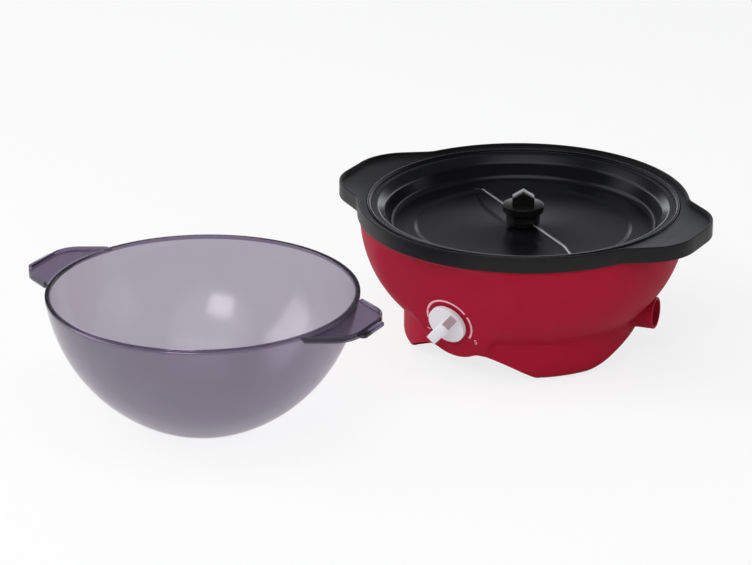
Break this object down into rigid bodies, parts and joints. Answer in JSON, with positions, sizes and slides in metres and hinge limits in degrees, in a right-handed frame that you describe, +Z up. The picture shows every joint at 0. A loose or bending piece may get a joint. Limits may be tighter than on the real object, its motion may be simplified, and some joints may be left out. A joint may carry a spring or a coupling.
{
  "type": "stirring popcorn popper",
  "caption": "Round electric tabletop popcorn popper with a red housing, black handled collar, coated pan, motor-driven stirrer and heat knob, and a clear smoky serving bowl beside it.",
  "frame": {"origin": "on the worktop, on the axis of the stirrer shaft", "axes": "+Z up along the stirrer shaft; the heat knob faces -Y"},
  "size_m": [0.4727, 0.5946, 0.1423],
  "materials": {
    "base_plate": "black plastic",
    "base_screws": "zinc plated",
    "clamp_plate": "plain sheet",
    "collar": "black heat-proof plastic, satin",
    "collar_screws": "zinc plated",
    "control_nut": "zinc plated",
    "control_shaft": "steel",
    "cord_bush": "black rubber",
    "drive_shaft": "ground steel",
    "foot_pads": "black rubber",
    "frame_pillars": "turned",
    "frame_plate_lower": "galvanised sheet",
    "frame_plate_upper": "galvanised sheet",
    "frame_screws": "zinc plated",
    "heat_control": "black phenolic",
    "heat_shield": "galvanised sheet",
    "heating_element": "sheathed steel tube",
    "housing_shell": "red moulded plastic, satin gloss",
    "idler_gear": "natural acetal",
    "idler_pin": "ground steel",
    "knob": "pale silver grey plastic",
    "knob_marker": "bright metal",
    "motor_can": "zinc plated",
    "motor_coil": "enamelled copper winding",
    "motor_rotor": "steel",
    "motor_screws": "zinc plated",
    "mount_posts": "turned",
    "output_gear": "natural acetal",
    "pan": "glossy black non-stick coating",
    "pan_bush": "sintered bronze",
    "pan_gasket": "grey silicone",
    "pan_nuts": "zinc plated",
    "pan_studs": "zinc plated",
    "serving_bowl": "smoky purple grey clear plastic",
    "shaft_bushes": "sintered bronze",
    "shaft_clip": "spring steel",
    "shaft_seal": "red silicone",
    "shield_screws": "zinc plated",
    "spacers": "plain",
    "stirrer_hub": "black heat-proof plastic",
    "stirrer_ring": "black heat-proof plastic",
    "stirrer_wire": "bright steel wire",
    "terminal_block": "natural nylon",
    "terminal_screws": "brass",
    "thermal_cutout": "cream phenolic"
  },
  "bodies": {
    "base": {"base_plate": "base_plate", "base_screws": "base_screws", "clamp_plate": "clamp_plate", "collar": "collar", "collar_screws": "collar_screws", "control_nut": "control_nut", "cord_bush": "cord_bush", "foot_pads": "foot_pads", "frame_pillars": "frame_pillars", "frame_plate_lower": "frame_plate_lower", "frame_plate_upper": "frame_plate_upper", "frame_screws": "frame_screws", "heat_control": "heat_control", "heat_shield": "heat_shield", "heating_element": "heating_element", "housing_shell": "housing_shell", "idler_pin": "idler_pin", "motor_can": "motor_can", "motor_coil": "motor_coil", "motor_screws": "motor_screws", "mount_posts": "mount_posts", "pan": "pan", "pan_bush": "pan_bush", "pan_gasket": "pan_gasket", "pan_nuts": "pan_nuts", "pan_studs": "pan_studs", "shaft_bushes": "shaft_bushes", "shaft_seal": "shaft_seal", "shield_screws": "shield_screws", "spacers": "spacers", "terminal_block": "terminal_block", "terminal_screws": "terminal_screws", "thermal_cutout": "thermal_cutout"},
    "drive": {"drive_shaft": "drive_shaft", "output_gear": "output_gear", "shaft_clip": "shaft_clip"},
    "idler": {"idler_gear": "idler_gear"},
    "rotor": {"motor_rotor": "motor_rotor"},
    "stirrer": {"stirrer_hub": "stirrer_hub", "stirrer_ring": "stirrer_ring", "stirrer_wire": "stirrer_wire"},
    "knob": {"knob": "knob", "knob_marker": "knob_marker", "control_shaft": "control_shaft"},
    "bowl": {"serving_bowl": "serving_bowl"}
  },
  "joints": [
    {"name": "stirrer_spin", "type": "hinge", "parent": "base", "child": "drive", "pos_m": [0, 0, 0.07], "axis": [0, 0, 1], "continuous": true},
    {"name": "stirrer_lift", "type": "slide", "parent": "drive", "child": "stirrer", "axis": [0, 0, 1], "range_m": [0, 0.045]},
    {"name": "idler_spin", "type": "hinge", "parent": "base", "child": "idler", "pos_m": [0.0315, 0, 0.07], "axis": [0, 0, 1], "continuous": true},
    {"name": "rotor_spin", "type": "hinge", "parent": "base", "child": "rotor", "pos_m": [0.0315, 0.0252, 0.05], "axis": [0, 0, 1], "continuous": true},
    {"name": "knob_turn", "type": "hinge", "parent": "base", "child": "knob", "pos_m": [0, -0.119, 0.0544], "axis": [0, 0.9511, 0.309], "range_deg": [0, 250]},
    {"name": "bowl_lift", "type": "slide", "parent": "base", "child": "bowl", "axis": [0, 0, 1], "range_m": [0, 0.15]}
  ],
  "couplings": [
    {"joint": "idler_spin", "follows": "stirrer_spin", "ratio": -4},
    {"joint": "rotor_spin", "follows": "stirrer_spin", "ratio": 12}
  ]
}
